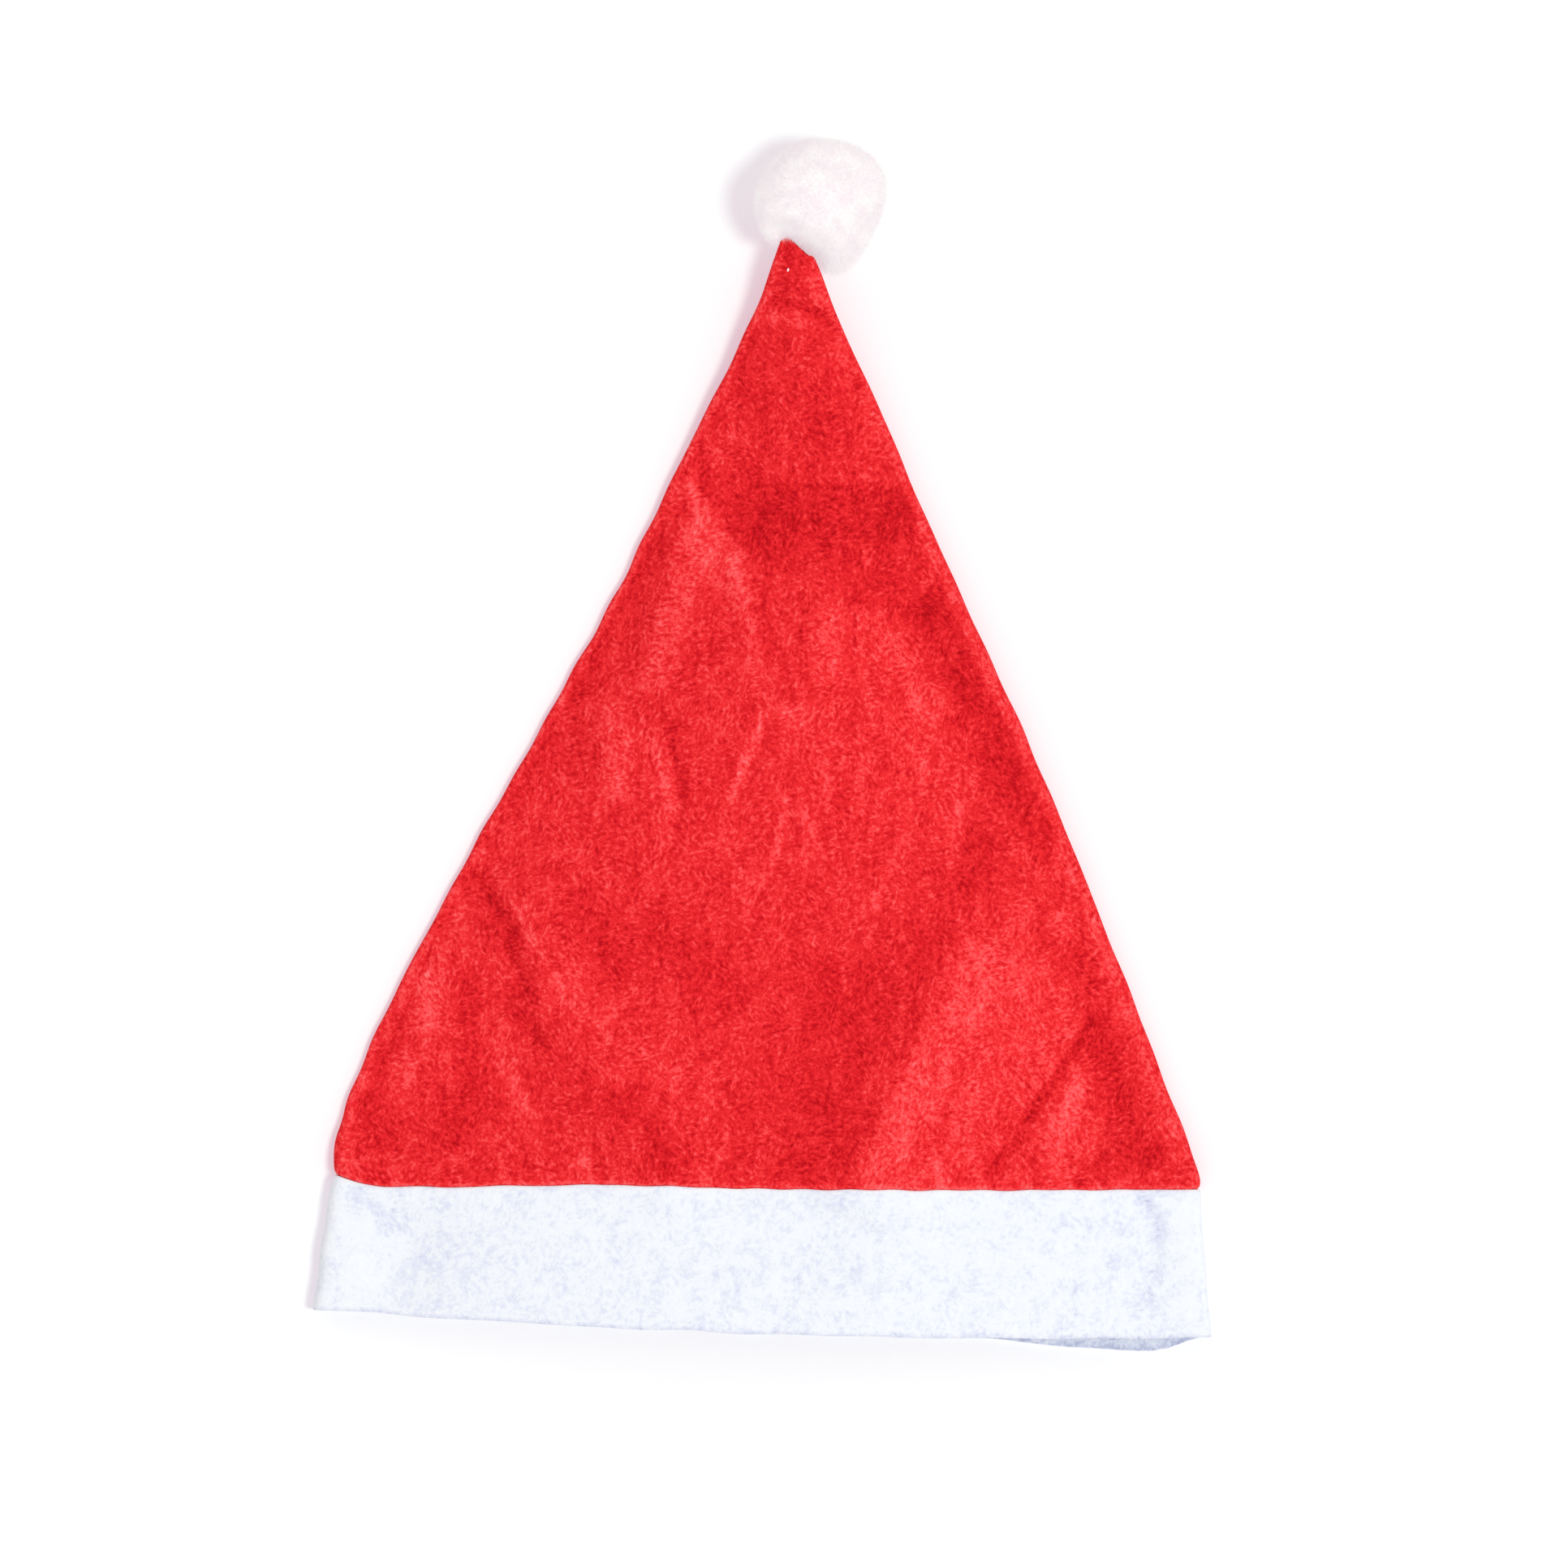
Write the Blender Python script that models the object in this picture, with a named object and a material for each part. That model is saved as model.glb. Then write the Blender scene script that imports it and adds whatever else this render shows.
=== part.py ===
"""A felt Santa hat lying on a table: a red felt crown, a white felt band and a fur pompom.

Metres, +Z up. The hat is modelled with the seam between crown and band on y = 0, its tip towards +Y
and its middle line on x = 0. At the end it is moved so that the origin lies under its middle.
"""

import math
import random

import bmesh
import bpy
from mathutils import Vector

# Sizes of the hat as it lies, in metres
RIM_WIDTH = 0.285
SEAM_WIDTH = 0.277
BAND_HEIGHT = 0.0455
CROWN_LENGTH = 0.2975
FOLD_GAP = 0.003
DOME_HEIGHT = 0.012
FELT = 0.0015
HEM = 0.008
SEAM_ROLL = 0.004
CLEARANCE = 0.0003

# How far the edges stray from straight lines. The shares run from -1 at the left to 1 at the right.
RIM_SLANT = 0.0045
RIM_BOW = 0.0028
UNDER_LAYER_PEEK = 0.0041
PEEK_SHARES = (0.40, 0.86, 0.90, 1.02)
SEAM_CORNER_RISE = 0.0054
SEAM_CORNER_SHARE = -0.78
TIP_SLANT = 0.0062
DOME_ROUNDNESS = 1.2

# The pompom: a ball of yarn trimmed round, with the tip of the crown sewn into its side
POMPOM_DIAMETER = 0.043
POMPOM_SAG = 0.0012
POMPOM_ASIDE = 0.0083
TIP_SEAT = 0.0071
LOCK_LENGTH = 0.0055
LOCK_RAGGED = 0.0012
LOCK_LEAN = 0.0004
LOCK_SHOULDER_SHARE = 0.7
LOCK_STUB_SHARE = 0.05
PARTING = 0.0016
HOLLOW_SHORT_OF_TIP = 0.024

# How finely the faces follow the shape
TOP_COLUMNS = 32
UNDER_COLUMNS = 8
FOLD_STEPS = 4
CROWN_ROWS = 30
BAND_ROWS = 4
LOCK_LEVEL = 3
REACH_STEPS = 40

# Sections across the hat. along: from the rim (-1) over the seam (0) to the tip (1). left and right:
# the edges from the middle line, as shares of half the seam width. left_fold and right_fold: the
# gap between the felt layers in the folded edges, as shares of FOLD_GAP. dome: share of
# DOME_HEIGHT. lift: how far the underside has left the table, as a share of the tip's lift.
SECTION_COLUMNS = ("along", "left", "right", "left_fold", "right_fold", "dome", "lift")
SECTIONS = (
    (-1.00, -0.990, 1.006, 1.13, 0.50, 0.90, 0.00),
    (0.00, -0.990, 1.006, 1.13, 0.50, 0.85, 0.00),
    (0.04, -0.985, 0.980, 0.70, 0.75, 0.90, 0.00),
    (0.11, -0.937, 0.922, 0.65, 1.10, 0.95, 0.00),
    (0.24, -0.803, 0.812, 0.65, 1.00, 1.00, 0.00),
    (0.38, -0.638, 0.692, 0.65, 1.00, 1.00, 0.00),
    (0.52, -0.469, 0.562, 0.65, 1.00, 0.95, 0.00),
    (0.66, -0.306, 0.422, 0.75, 1.00, 0.70, 0.05),
    (0.78, -0.172, 0.310, 0.85, 1.00, 0.35, 0.22),
    (0.90, -0.048, 0.195, 0.90, 1.00, 0.18, 0.58),
    (0.96, 0.007, 0.144, 0.90, 0.90, 0.10, 0.85),
    (1.00, 0.037, 0.105, 0.65, 0.65, 0.05, 1.00),
)

# Soft dents and ridges of the upper layer. x: share of half the seam width. y: share of the crown's
# length, negative on the band. height: how high the ridge is, or how deep the dent, and west and
# east: how far it reaches to the left and the right of its line, as shares of DOME_HEIGHT.
DENT_COLUMNS = ("x0", "y0", "x1", "y1", "height", "west", "east")
DENTS = (
    (0.29, 0.67, 0.56, 0.39, -0.30, 2.0, 0.9),
    (0.72, 0.21, 0.84, 0.03, -0.28, 1.2, 0.8),
    (0.45, 0.27, 0.20, -0.02, 0.40, 1.5, 3.4),
    (-0.60, 0.33, -0.48, 0.21, 0.22, 0.7, 1.4),
    (-0.54, 0.20, -0.16, -0.02, 0.20, 0.8, 1.4),
    (-0.80, 0.27, -0.80, 0.12, 0.18, 0.9, 1.2),
    (-0.20, 0.755, 0.38, 0.735, -0.16, 1.0, 0.7),
    (-0.78, -0.02, -0.86, -0.12, -0.15, 1.0, 1.0),
    (0.88, 0.00, 0.90, -0.14, -0.16, 0.8, 0.8),
    (0.30, -0.02, 0.22, -0.15, 0.12, 1.4, 1.4),
)


def named(columns, rows):
    """The rows of a table as dictionaries that are read by column name."""
    return [dict(zip(columns, row)) for row in rows]


def read_along(rows, column, at):
    """A column's value at a place along the hat, on a smooth curve that never overshoots the rows."""
    xs = [row["along"] for row in rows]
    ys = [row[column] for row in rows]
    at = min(max(at, xs[0]), xs[-1])
    rises = [(y1 - y0) / (x1 - x0) for x0, x1, y0, y1 in zip(xs, xs[1:], ys, ys[1:])]
    slopes = [rises[0]]
    for before, after in zip(rises, rises[1:]):
        same_way = before * after > 0
        slopes.append(2 * before * after / (before + after) if same_way else 0.0)
    slopes.append(rises[-1])
    i = max(k for k in range(len(xs) - 1) if xs[k] <= at)
    step = xs[i + 1] - xs[i]
    t = (at - xs[i]) / step
    return (
        ys[i] * (1 + 2 * t) * (1 - t) ** 2
        + ys[i + 1] * t * t * (3 - 2 * t)
        + slopes[i] * step * t * (1 - t) ** 2
        - slopes[i + 1] * step * t * t * (1 - t)
    )


SECTION_ROWS = named(SECTION_COLUMNS, SECTIONS)
DENT_ROWS = named(DENT_COLUMNS, DENTS)


def pompom_middle():
    """The height of the pompom's middle above the table."""
    return POMPOM_DIAMETER / 2 - POMPOM_SAG


def tip_lift():
    """The tip's underside, so high that its upper layer meets the pompom's middle."""
    return pompom_middle() - 2 * FELT - FOLD_GAP * SECTION_ROWS[-1]["left_fold"]


def smooth_step(low, high, value):
    t = min(max((value - low) / (high - low), 0.0), 1.0)
    return t * t * (3 - 2 * t)


def section_at(y):
    """The hat's section at a distance above the seam, with its edges and heights in metres.

    A folded edge holds two layers of felt, and four on the band, where the crown's hem lies inside.
    """
    along = y / CROWN_LENGTH if y > 0 else y / BAND_HEIGHT
    half = SEAM_WIDTH / 2
    flare = (RIM_WIDTH - SEAM_WIDTH) / 2 * min(max(-y / BAND_HEIGHT, 0.0), 1.0)
    layers = 2 * FELT + 2 * (FELT + CLEARANCE) * smooth_step(0.11 * CROWN_LENGTH, 0.0, y)
    return {
        "left": half * read_along(SECTION_ROWS, "left", along) - flare,
        "right": half * read_along(SECTION_ROWS, "right", along) + flare,
        "left_fold": layers + FOLD_GAP * read_along(SECTION_ROWS, "left_fold", along),
        "right_fold": layers + FOLD_GAP * read_along(SECTION_ROWS, "right_fold", along),
        "dome": DOME_HEIGHT * read_along(SECTION_ROWS, "dome", along),
        "lift": tip_lift() * read_along(SECTION_ROWS, "lift", along),
    }


def dent_height(x, y):
    """How far the dents and ridges raise or lower the upper layer at a point."""
    point = Vector((x, y))
    height = 0.0
    for dent in DENT_ROWS:
        start = Vector((dent["x0"] * SEAM_WIDTH / 2, dent["y0"] * CROWN_LENGTH))
        end = Vector((dent["x1"] * SEAM_WIDTH / 2, dent["y1"] * CROWN_LENGTH))
        line = end - start
        share = min(max((point - start).dot(line) / line.length_squared, 0.0), 1.0)
        away = point - (start + share * line)
        across = Vector((-line.y, line.x))
        east = away.dot(across) * across.x > 0 or (across.x == 0 and away.y > 0)
        reach = DOME_HEIGHT * (dent["east"] if east else dent["west"])
        height += DOME_HEIGHT * dent["height"] * math.exp(-away.length_squared / reach**2)
    return height


def loop_places():
    """The places round a section: over the top to the right, then back underneath to the left.

    Each is (across, turn): across from -1 at the left fold to 1 at the right one, and turn the angle
    round a folded edge from its top, or None on the upper layer and pi on the lower one.
    """
    places = [(2 * i / TOP_COLUMNS - 1, None) for i in range(TOP_COLUMNS + 1)]
    places += [(1, math.pi * i / FOLD_STEPS) for i in range(1, FOLD_STEPS)]
    places += [(1 - 2 * i / UNDER_COLUMNS, math.pi) for i in range(UNDER_COLUMNS + 1)]
    places += [(-1, math.pi * (1 - i / FOLD_STEPS)) for i in range(1, FOLD_STEPS)]
    return places


def seam_rise(across):
    """The seam turns up where it goes round the left fold."""
    return SEAM_CORNER_RISE * smooth_step(SEAM_CORNER_SHARE, -1.0, across)


def rim_rise(across, under):
    """The rim runs a little askew, and its lower layer peeks out at the right."""
    rise = RIM_SLANT * -across + RIM_BOW * across * across
    if under:
        start, full, ease, end = PEEK_SHARES
        peek = smooth_step(start, full, across) * smooth_step(end, ease, across)
        rise -= UNDER_LAYER_PEEK * peek
    return rise


def stray(across, under, y):
    """How far a point strays along the hat from the straight row that it belongs to."""
    if y > 0:
        near_seam = smooth_step(0.12 * CROWN_LENGTH, 0.0, y)
        near_tip = smooth_step(0.85 * CROWN_LENGTH, CROWN_LENGTH, y)
        return seam_rise(across) * near_seam - TIP_SLANT / 2 * across * near_tip
    down = min(-y / BAND_HEIGHT, 1.0)
    return seam_rise(across) * (1 - down) + rim_rise(across, under) * down


def section_loop(y, inset):
    """The points of one closed loop round the hat, inset from its outer surface."""
    section = section_at(y)
    left = section["left"] + inset
    right = section["right"] - inset
    folds = {side: section[side + "_fold"] - 2 * inset for side in ("left", "right")}
    floor = section["lift"] + inset
    inner_left = left + folds["left"] / 2
    inner_right = right - folds["right"] / 2
    points = []
    for across, turn in loop_places():
        share = (across + 1) / 2
        x = inner_left + (inner_right - inner_left) * share
        under = turn == math.pi
        row_y = y + stray(across, under, y)
        if under:
            z = floor
        elif turn is not None:
            fold = folds["right"] if across > 0 else folds["left"]
            x += across * fold / 2 * math.sin(turn)
            z = floor + fold / 2 * (1 + math.cos(turn))
        else:
            crown = (1 - across * across) ** DOME_ROUNDNESS
            edge = folds["left"] * (1 - share) + folds["right"] * share
            window = 1 - across**8
            z = floor + edge + section["dome"] * crown + dent_height(x, row_y) * window
        points.append(Vector((x, row_y, z)))
    return points


def skin(name, loops, close_ends):
    """One closed body: the first loop is extruded from each loop to the next."""
    shape = bmesh.new()
    place = shape.verts.layers.int.new("place")
    ring = bmesh.ops.create_circle(shape, segments=len(loops[0]), radius=RIM_WIDTH)["verts"]
    for i, vert in enumerate(ring):
        vert[place] = i
        vert.co = loops[0][i]
    first = edges = list(shape.edges)
    for loop in loops[1:]:
        made = bmesh.ops.extrude_edge_only(shape, edges=edges)["geom"]
        edges = [item for item in made if isinstance(item, bmesh.types.BMEdge)]
        for vert in (item for item in made if isinstance(item, bmesh.types.BMVert)):
            vert.co = loop[vert[place]]
    if close_ends:
        ends = [bmesh.ops.edgeloop_fill(shape, edges=end)["faces"][0] for end in (first, edges)]
        bmesh.ops.poke(shape, faces=ends)
    else:
        bmesh.ops.remove_doubles(shape, verts=shape.verts, dist=FELT / 100)
    bmesh.ops.recalc_face_normals(shape, faces=shape.faces)
    # The shorter diagonal splits touching walls alike, so they keep their clearance
    bmesh.ops.triangulate(shape, faces=shape.faces, quad_method="SHORT_EDGE")
    mesh = bpy.data.meshes.new(name)
    shape.to_mesh(mesh)
    shape.free()
    return mesh


def material(name, colour, roughness):
    made = bpy.data.materials.new(name)
    made.use_nodes = True
    shader = made.node_tree.nodes["Principled BSDF"]
    shader.inputs["Base Color"].default_value = (*colour, 1)
    shader.inputs["Roughness"].default_value = roughness
    shader.inputs["Metallic"].default_value = 0
    return made


def add(name, mesh, finish):
    made = bpy.data.objects.new(name, mesh)
    bpy.context.scene.collection.objects.link(made)
    mesh.materials.append(finish)
    mesh.shade_smooth()
    mesh.set_sharp_from_angle(angle=math.radians(40))
    return made


def build_band(finish):
    """The white band: one wall of felt, open above and below, round the crown's hem."""
    rows = [0, -HEM]
    rows += [-HEM - (BAND_HEIGHT - HEM) * i / BAND_ROWS for i in range(1, BAND_ROWS + 1)]
    outer = [section_loop(y, 0) for y in rows]
    inner = [section_loop(y, FELT) for y in reversed(rows)]
    return add("band", skin("band", outer + inner + outer[:1], close_ends=False), finish)


def build_crown(finish):
    """The red crown: a felt cone, closed at the tip, whose hem is tucked inside the band."""
    tucked = FELT + CLEARANCE
    rows = [(-HEM, tucked), (0, tucked), (SEAM_ROLL / 3, tucked / 2)]
    step = (CROWN_LENGTH - SEAM_ROLL) / CROWN_ROWS
    rows += [(SEAM_ROLL + step * i, 0) for i in range(CROWN_ROWS + 1)]
    outer = [section_loop(y, inset) for y, inset in rows]
    hollow = [row for row in rows if row[0] < CROWN_LENGTH - HOLLOW_SHORT_OF_TIP]
    inner = [section_loop(y, inset + FELT) for y, inset in hollow]
    return add("crown", skin("crown", outer[::-1] + inner, close_ends=True), finish)


def pompom_centre():
    """The ball's middle lies past the tip, a little to its right, with the tip's end seated in it."""
    tip = section_at(CROWN_LENGTH)
    return Vector(
        (
            (tip["left"] + tip["right"]) / 2 + POMPOM_ASIDE,
            CROWN_LENGTH - TIP_SEAT + POMPOM_DIAMETER / 2,
            pompom_middle(),
        )
    )


def under_yarn(point):
    """Whether a point is in the tip of the crown, or above it where the yarn parts round it."""
    near = PARTING + CLEARANCE
    row = min(point.y, CROWN_LENGTH)
    tip = section_at(row)
    if not tip["left"] - near < point.x < tip["right"] + near:
        return False
    across = 2 * (point.x - tip["left"]) / (tip["right"] - tip["left"]) - 1
    end = CROWN_LENGTH - TIP_SLANT / 2 * across + near
    return point.y < end and point.z > tip["lift"] - near


def yarn_reach(centre, out, longest):
    """How far the yarn reaches from the ball's middle before it meets the tip or the table."""
    if out.z < 0:
        longest = min(longest, centre.z / -out.z)
    for i in range(REACH_STEPS + 1):
        reach = longest * i / REACH_STEPS
        if under_yarn(centre + out * reach):
            return longest * (i - 1) / REACH_STEPS
    return longest


def build_pompom(finish):
    """The pompom: a round head with tapering locks of yarn drawn out of it all round."""
    dice = random.Random(7)
    centre = pompom_centre()
    shape = bmesh.new()
    radius = POMPOM_DIAMETER / 2
    head = radius - LOCK_LENGTH
    bmesh.ops.create_icosphere(shape, subdivisions=LOCK_LEVEL, radius=head)
    for vert in shape.verts:
        out = vert.co.normalized()
        vert.co = out * yarn_reach(centre, out, head)
    for lock in bmesh.ops.extrude_discrete_faces(shape, faces=shape.faces)["faces"]:
        root = lock.calc_center_median()
        out = root.normalized()
        lean = Vector([dice.uniform(-LOCK_LEAN, LOCK_LEAN) for _ in range(3)])
        reach = yarn_reach(centre, out, radius - LOCK_RAGGED * dice.random())
        growth = max(reach - root.length, LOCK_LENGTH * LOCK_STUB_SHARE)
        for vert in lock.verts:
            vert.co += (out * growth + lean * growth / LOCK_LENGTH) * LOCK_SHOULDER_SHARE
        point = bmesh.ops.poke(shape, faces=[lock])["verts"][0]
        point.co = root + out * growth + lean * growth / LOCK_LENGTH
    bmesh.ops.translate(shape, verts=shape.verts, vec=centre)
    for vert in shape.verts:
        vert.co.z = max(vert.co.z, 0.0)
    mesh = bpy.data.meshes.new("pompom")
    shape.to_mesh(mesh)
    shape.free()
    return add("pompom", mesh, finish)


def centre_on_origin(pieces):
    """Moves the pieces so that the origin lies under the middle of the hat."""
    corners = [vert.co for piece in pieces for vert in piece.data.vertices]
    middle = Vector()
    for axis in (0, 1):
        places = [corner[axis] for corner in corners]
        middle[axis] = (min(places) + max(places)) / 2
    for piece in pieces:
        piece.location = -middle


for old in list(bpy.data.objects):
    bpy.data.objects.remove(old)
red_felt = material("red_felt", (0.82, 0.02, 0.03), 0.95)
white_felt = material("white_felt", (0.90, 0.91, 0.96), 0.95)
white_yarn = material("white_yarn", (0.93, 0.91, 0.90), 0.90)
hat = [build_crown(red_felt), build_band(white_felt), build_pompom(white_yarn)]
centre_on_origin(hat)
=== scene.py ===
"""A felt Santa hat as it lies on a pale table, tip away: the looks of its crown, band and pompom.

Lengths are in metres in the frame's own axes. Along the hat they are counted from the seam between
crown and band, which is 0, towards the tip. The rim lies below the seam, at negative places.
"""

import math

import bmesh
import bpy
import numpy as np
from mathutils import Matrix, Vector


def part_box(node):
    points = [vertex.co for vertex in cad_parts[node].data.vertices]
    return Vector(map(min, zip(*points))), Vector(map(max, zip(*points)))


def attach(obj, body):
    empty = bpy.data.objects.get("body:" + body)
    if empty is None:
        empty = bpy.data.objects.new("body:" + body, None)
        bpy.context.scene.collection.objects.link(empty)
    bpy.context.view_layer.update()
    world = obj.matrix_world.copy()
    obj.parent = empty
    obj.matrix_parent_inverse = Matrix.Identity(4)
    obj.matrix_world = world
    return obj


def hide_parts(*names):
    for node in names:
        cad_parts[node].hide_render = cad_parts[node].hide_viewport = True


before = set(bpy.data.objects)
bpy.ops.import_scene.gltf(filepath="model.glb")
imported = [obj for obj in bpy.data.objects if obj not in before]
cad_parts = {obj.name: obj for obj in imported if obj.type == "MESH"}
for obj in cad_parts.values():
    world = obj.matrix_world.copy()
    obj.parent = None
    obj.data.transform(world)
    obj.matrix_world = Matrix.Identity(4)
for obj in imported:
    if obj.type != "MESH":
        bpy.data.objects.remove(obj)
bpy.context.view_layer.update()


# The table and the light. The hat lies on a white table top under one large soft lamp, high up on
# the right, and a white room fills the shadows with a slightly pink light.
PHOTO_SIDE = 1932
HAT_PIXELS = 1107
RIM_WIDTH = 0.285
PIXEL = RIM_WIDTH / HAT_PIXELS
SEAM_ROW = 1464.1
MIDDLE_COLUMN = 939
CAMERA_HEIGHT = 5.0
TABLE_SIDE = 6.0
TABLE_DROP = 0.0002
LAMP_ELEVATION = math.radians(69)
LAMP_TURN = math.radians(-8)
LAMP_SPREAD = math.radians(14)
LAMP_STRENGTH = 1.42
LAMP_COLOUR = (0.92, 1.0, 0.97)
ROOM_STRENGTH = 0.76
ROOM_COLOUR = (1.0, 0.93, 0.96)
TABLE_COLOUR = (0.60, 0.71, 0.63)
TABLE_GLOW = (0.36, 0.25, 0.34)

band_low, band_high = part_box("band")
SEAM_WIDTH = 0.277
SEAM_CORNER_RISE = 0.0054
LEFT_SHARE, RIGHT_SHARE = 0.990, 1.006
MIDDLE_X = (band_low[0] + band_high[0]) / 2 - (RIGHT_SHARE - LEFT_SHARE) * SEAM_WIDTH / 4
SEAM_Y = band_high[1] - SEAM_CORNER_RISE


class Value:
    """A number that changes over a surface. Arithmetic on values adds Math nodes."""

    def __init__(self, socket):
        self.socket = socket
        self.tree = socket.id_data

    @staticmethod
    def plug(tree, value, slot):
        if isinstance(value, Value):
            tree.links.new(value.socket, slot)
        else:
            slot.default_value = value

    def maths(self, operation, first, second):
        node = self.tree.nodes.new("ShaderNodeMath")
        node.operation = operation
        Value.plug(self.tree, first, node.inputs[0])
        Value.plug(self.tree, second, node.inputs[1])
        return Value(node.outputs[0])

    def __add__(self, other):
        return self.maths("ADD", self, other)

    __radd__ = __add__

    def __mul__(self, other):
        return self.maths("MULTIPLY", self, other)

    __rmul__ = __mul__

    def __sub__(self, other):
        return self.maths("SUBTRACT", self, other)

    def __rsub__(self, other):
        return self.maths("SUBTRACT", other, self)

    def highest(self, other):
        return self.maths("MAXIMUM", self, other)


class Finish:
    """A material whose nodes are added one by one."""

    def __init__(self, name, roughness):
        self.material = bpy.data.materials.new(name)
        self.material.use_nodes = True
        self.tree = self.material.node_tree
        self.shader = self.tree.nodes["Principled BSDF"]
        self.shader.inputs["Roughness"].default_value = roughness

    def node(self, kind, settings=(), output=0, **inputs):
        made = self.tree.nodes.new("ShaderNode" + kind)
        for name, value in dict(settings).items():
            if name == "stops":
                ramp = made.color_ramp.elements
                while len(ramp) < len(value):
                    ramp.new(0.5)
                for element, (place, colour) in zip(ramp, value):
                    element.position = place
                    element.color = (*colour, 1)
            else:
                setattr(made, name, value)
        for name, value in inputs.items():
            Value.plug(self.tree, value, made.inputs[name.replace("_", " ")])
        return Value(made.outputs[output])

    def mix(self, factor, one, other):
        """A colour between two: 0 gives the first, 1 the other."""
        made = self.tree.nodes.new("ShaderNodeMix")
        made.data_type = "RGBA"
        slots = [made.inputs[0], made.inputs[6], made.inputs[7]]
        for slot, value in zip(slots, (factor, one, other)):
            if not isinstance(value, (Value, float, int)):
                value = (*value, 1)
            Value.plug(self.tree, value, slot)
        return Value(made.outputs[2])

    def feed(self, name, value):
        self.tree.links.new(value.socket, self.shader.inputs[name])


table_finish = Finish("table_top", 0.9)
table_finish.shader.inputs["Base Color"].default_value = (*TABLE_COLOUR, 1)
table_finish.shader.inputs["Specular IOR Level"].default_value = 0.0
table_finish.shader.inputs["Emission Color"].default_value = (*TABLE_GLOW, 1)
table_finish.shader.inputs["Emission Strength"].default_value = 1.0
shape = bmesh.new()
bmesh.ops.create_grid(shape, x_segments=1, y_segments=1, size=TABLE_SIDE / 2)
bmesh.ops.translate(shape, verts=shape.verts, vec=(0, 0, -TABLE_DROP))
mesh = bpy.data.meshes.new("table_top")
shape.to_mesh(mesh)
shape.free()
mesh.materials.append(table_finish.material)
table_top = bpy.data.objects.new("table_top", mesh)
bpy.context.scene.collection.objects.link(table_top)

lamp_data = bpy.data.lights.new("lamp", "SUN")
lamp_data.energy = LAMP_STRENGTH
lamp_data.angle = LAMP_SPREAD
lamp_data.color = LAMP_COLOUR
lamp = bpy.data.objects.new("lamp", lamp_data)
towards_lamp = Vector(
    (
        math.cos(LAMP_ELEVATION) * math.cos(LAMP_TURN),
        math.cos(LAMP_ELEVATION) * math.sin(LAMP_TURN),
        math.sin(LAMP_ELEVATION),
    )
)
lamp.rotation_euler = towards_lamp.to_track_quat("Z", "Y").to_euler()
bpy.context.scene.collection.objects.link(lamp)

room = bpy.data.worlds.new("white_room")
room.use_nodes = True
room.node_tree.nodes["Background"].inputs["Color"].default_value = (*ROOM_COLOUR, 1)
room.node_tree.nodes["Background"].inputs["Strength"].default_value = ROOM_STRENGTH
bpy.context.scene.world = room
bpy.context.scene.view_settings.view_transform = "Standard"

camera_data = bpy.data.cameras.new("camera")
camera_data.angle = 2 * math.atan(PHOTO_SIDE * PIXEL / 2 / CAMERA_HEIGHT)
camera = bpy.data.objects.new("camera", camera_data)
camera.location = (
    MIDDLE_X + (PHOTO_SIDE / 2 - MIDDLE_COLUMN) * PIXEL,
    SEAM_Y + (SEAM_ROW - PHOTO_SIDE / 2) * PIXEL,
    CAMERA_HEIGHT,
)
bpy.context.scene.collection.objects.link(camera)
bpy.context.scene.camera = camera


# The crown. A cone of red felt, cut in one piece, sewn up along its left edge and turned right side
# out. It lies pressed flat but springs up a little in the middle, with soft folds from packing.
BAND_HEIGHT = 0.0455
CROWN_LENGTH = 0.2975
FELT = 0.0015
HEM = 0.008
CLEARANCE = 0.0003
FOLD_GAP = 0.003
DOME_HEIGHT = 0.012
DOME_ROUNDNESS = 1.2
RIM_SLANT = 0.0045
RIM_BOW = 0.0028
UNDER_LAYER_PEEK = 0.0041
PEEK_SHARES = (0.40, 0.86, 0.90, 1.02)
SEAM_CORNER_LIFT = 0.0036
SEAM_CORNER_REACH = 0.015
SEAM_CORNER_CURVE = 1.6
RIM_SHIFT = -0.0012
TIP_SLANT = 0.0062
TIP_LIFT = 0.0153
SEAM_ROLL = 0.004
SEAM_WAVE = 0.0002
RIM_WAVE = 0.00025
EDGE_WAVE = 0.0003
EDGE_HOLD = 10
# Painted light and shade: the felt is painted paler on slopes that lean towards this side, the lamp's,
# and darker on slopes that lean away.
PAINTED_LIGHT_TOWARDS = (0.5, -0.2)
LINE_CAP = 0.003
# A painted highlight along the folded edges, and how closely it keeps to them.
EDGE_HIGHLIGHT = 0.15
EDGE_HIGHLIGHT_HOLD = 200
EDGE_SQUARENESS = 0.6
# How far the stroked nap and the painted light and shade may pale or darken the felt.
NAP_AND_SHADE_LIMIT = 0.9
GATHER_SHADE = 0.16
GATHER_REACH = 0.010
# A painted highlight just above the seam.
SEAM_HIGHLIGHT = 0.45
# Painted shade along the cut rim.
RIM_SHADE = 0.4
# Painted shade on the felt's inner surface.
INSIDE_SHADE = 0.45
SLOPE_REACH = 0.0004

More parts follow.
